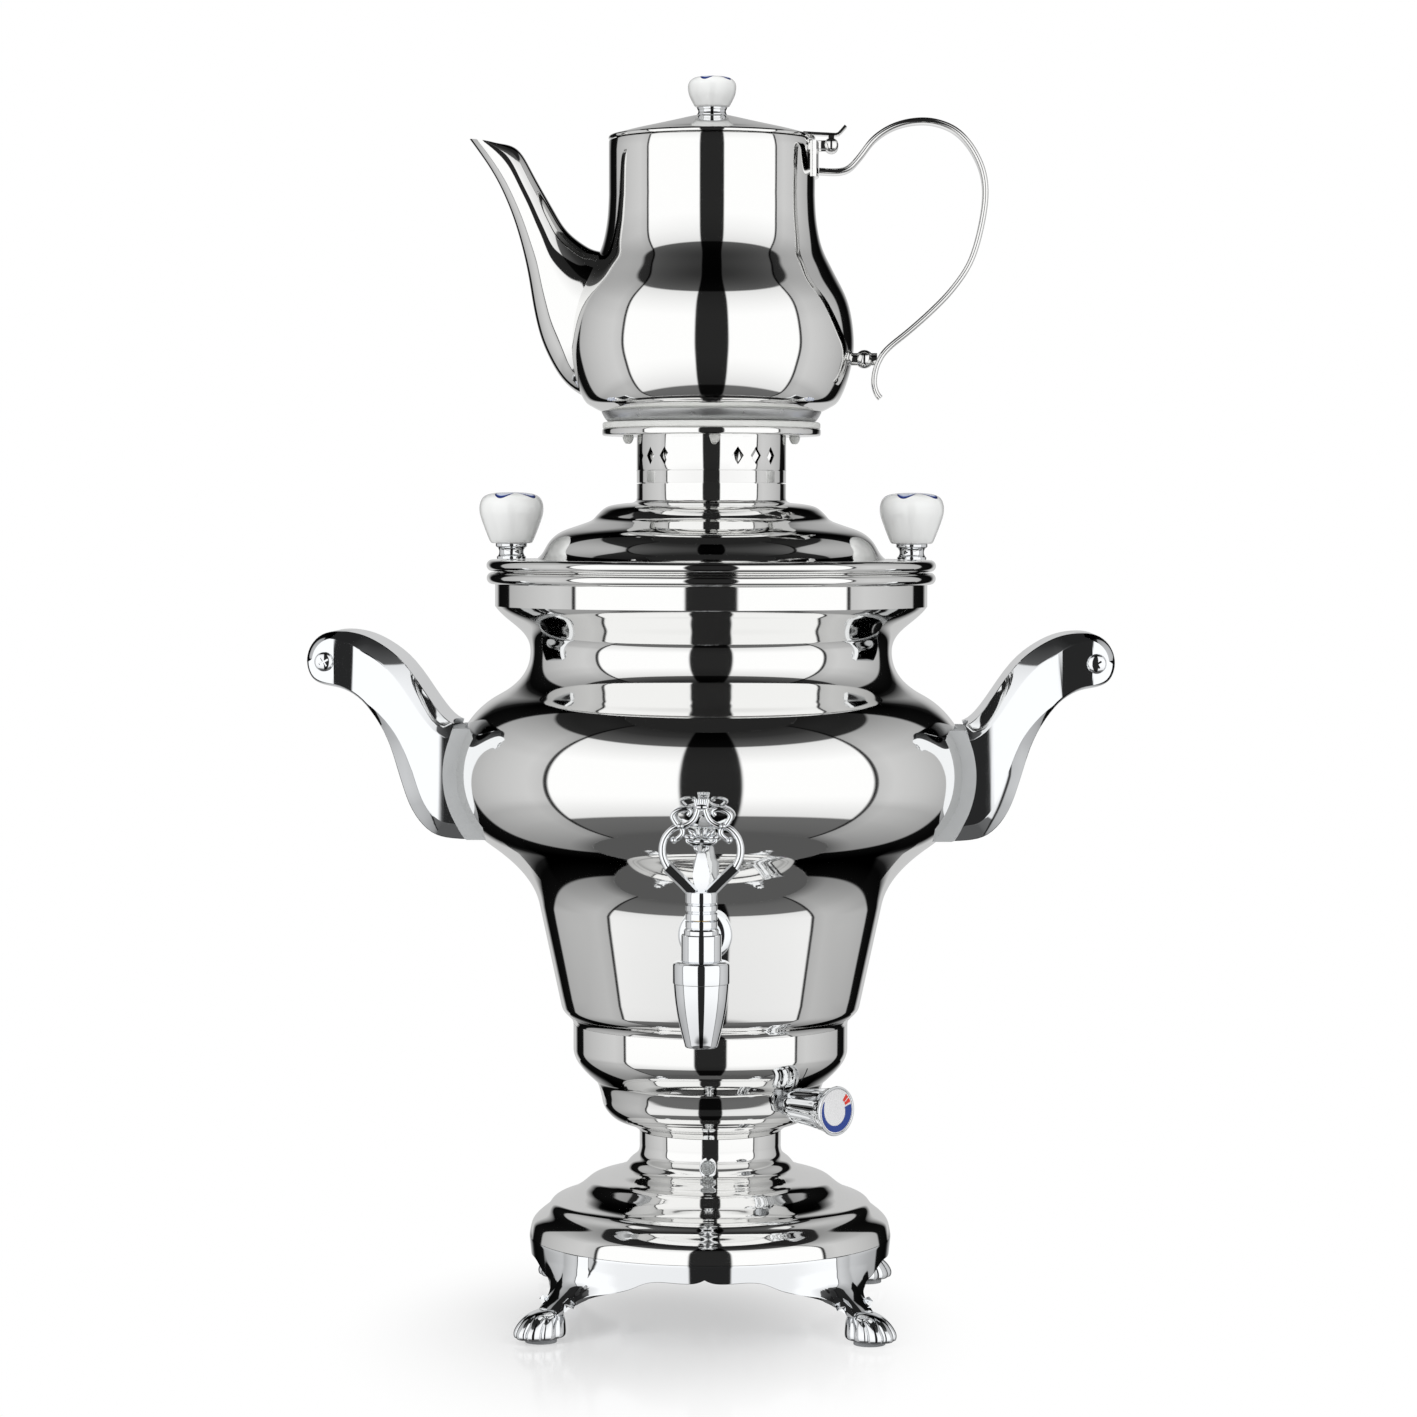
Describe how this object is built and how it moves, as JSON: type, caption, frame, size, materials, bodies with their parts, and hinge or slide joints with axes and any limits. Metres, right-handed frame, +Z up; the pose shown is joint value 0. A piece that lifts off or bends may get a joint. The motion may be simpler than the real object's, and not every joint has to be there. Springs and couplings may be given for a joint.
{
  "type": "electric samovar",
  "caption": "Polished urn samovar on paw feet with a tap, thermostat knob, side handles, lidded gallery and a hinged-lid teapot standing on top.",
  "frame": {"origin": "on the ground at the urn's vertical axis, in the plane of the foot pads' undersides", "axes": "+Z up along the urn's axis, -Y towards the tap (front), +X towards the teapot's handle"},
  "size_m": [0.336, 0.2416, 0.5192],
  "materials": {
    "polished_steel": "mirror polished stainless steel sheet",
    "chromed_casting": "chrome plated casting, mirror finish",
    "satin_steel": "satin zinc plated or stainless steel, fine grain",
    "aluminium_plate": "bare aluminium, satin",
    "porcelain": "white glazed porcelain with a blue band",
    "silicone": "translucent pale silicone, satin",
    "insulator": "grey heat insulating silicone, matt",
    "pad_rubber": "grey rubber, matt",
    "core_plastic": "black heat resistant plastic",
    "gland_plastic": "dark grey nylon",
    "block_plastic": "ivory ceramic filled plastic",
    "dial_face": "light grey printed dial with a blue arc and red marks",
    "lamp_lens": "clear moulded lens",
    "brass": "turned brass",
    "copper": "copper tube",
    "element": "oxidised heating tube",
    "lead_insulation": "silicone insulated leads"
  },
  "bodies": {
    "urn": {"base_plinth": "chromed_casting", "paw_front_left": "chromed_casting", "paw_front_right": "chromed_casting", "paw_rear_left": "chromed_casting", "paw_rear_right": "chromed_casting", "foot_pads": "pad_rubber", "paw_screws": "satin_steel", "bottom_cover": "satin_steel", "cover_screws": "satin_steel", "base_bridge": "satin_steel", "tie_rod": "satin_steel", "tie_nut": "satin_steel", "base_dome": "polished_steel", "cable_gland": "gland_plastic", "pilot_lamp": "lamp_lens", "terminal_block": "block_plastic", "wiring": "lead_insulation", "thermostat_bowl": "polished_steel", "thermostat": "block_plastic", "thermostat_nut": "satin_steel", "thermostat_probe": "copper", "lower_cup": "polished_steel", "urn_body": "polished_steel", "heater_plate": "aluminium_plate", "heating_element": "element", "thermal_cutout": "block_plastic", "left_handle": "chromed_casting", "right_handle": "chromed_casting", "left_handle_core": "core_plastic", "right_handle_core": "core_plastic", "handle_gaskets": "insulator", "handle_screws": "satin_steel", "handle_seals": "silicone", "nose_screws": "polished_steel", "tap_body": "chromed_casting", "tap_rosette": "chromed_casting", "tap_gasket": "silicone", "tap_nut": "satin_steel", "tap_nozzle": "chromed_casting", "tap_bonnet": "chromed_casting"},
    "tap_key": {"tap_key": "chromed_casting", "tap_plug": "brass"},
    "thermostat_knob": {"knob_barrel": "chromed_casting", "knob_dial": "dial_face"},
    "lid": {"urn_lid": "polished_steel", "left_lid_knob": "porcelain", "right_lid_knob": "porcelain", "lid_ferrules": "chromed_casting", "lid_knob_screws": "satin_steel"},
    "gallery": {"gallery_ring": "polished_steel", "seat_ring": "silicone"},
    "teapot": {"teapot_body": "polished_steel", "teapot_base": "satin_steel", "teapot_spout": "polished_steel", "teapot_handle": "polished_steel", "teapot_bracket": "polished_steel"},
    "teapot_lid": {"teapot_lid": "polished_steel", "teapot_lid_knob": "porcelain", "teapot_lid_ferrule": "chromed_casting"}
  },
  "joints": [
    {"name": "tap_key_turn", "type": "hinge", "parent": "urn", "child": "tap_key", "pos_m": [0, -0.122, 0.1672], "axis": [0, 0, 1], "range_deg": [0, 90]},
    {"name": "thermostat_knob_turn", "type": "hinge", "parent": "urn", "child": "thermostat_knob", "pos_m": [0, 0, 0.093], "axis": [-0.7071, 0.7071, 0], "range_deg": [0, 255]},
    {"name": "lid_lift", "type": "slide", "parent": "urn", "child": "lid", "axis": [0, 0, 1], "range_m": [0, 0.15]},
    {"name": "gallery_lift", "type": "slide", "parent": "lid", "child": "gallery", "axis": [0, 0, 1], "range_m": [0, 0.08]},
    {"name": "teapot_lift", "type": "slide", "parent": "gallery", "child": "teapot", "axis": [0, 0, 1], "range_m": [0, 0.2]},
    {"name": "teapot_lid_hinge", "type": "hinge", "parent": "teapot", "child": "teapot_lid", "pos_m": [0.0498, 0, 0.4902], "axis": [0, 1, 0], "range_deg": [0, 80]}
  ]
}
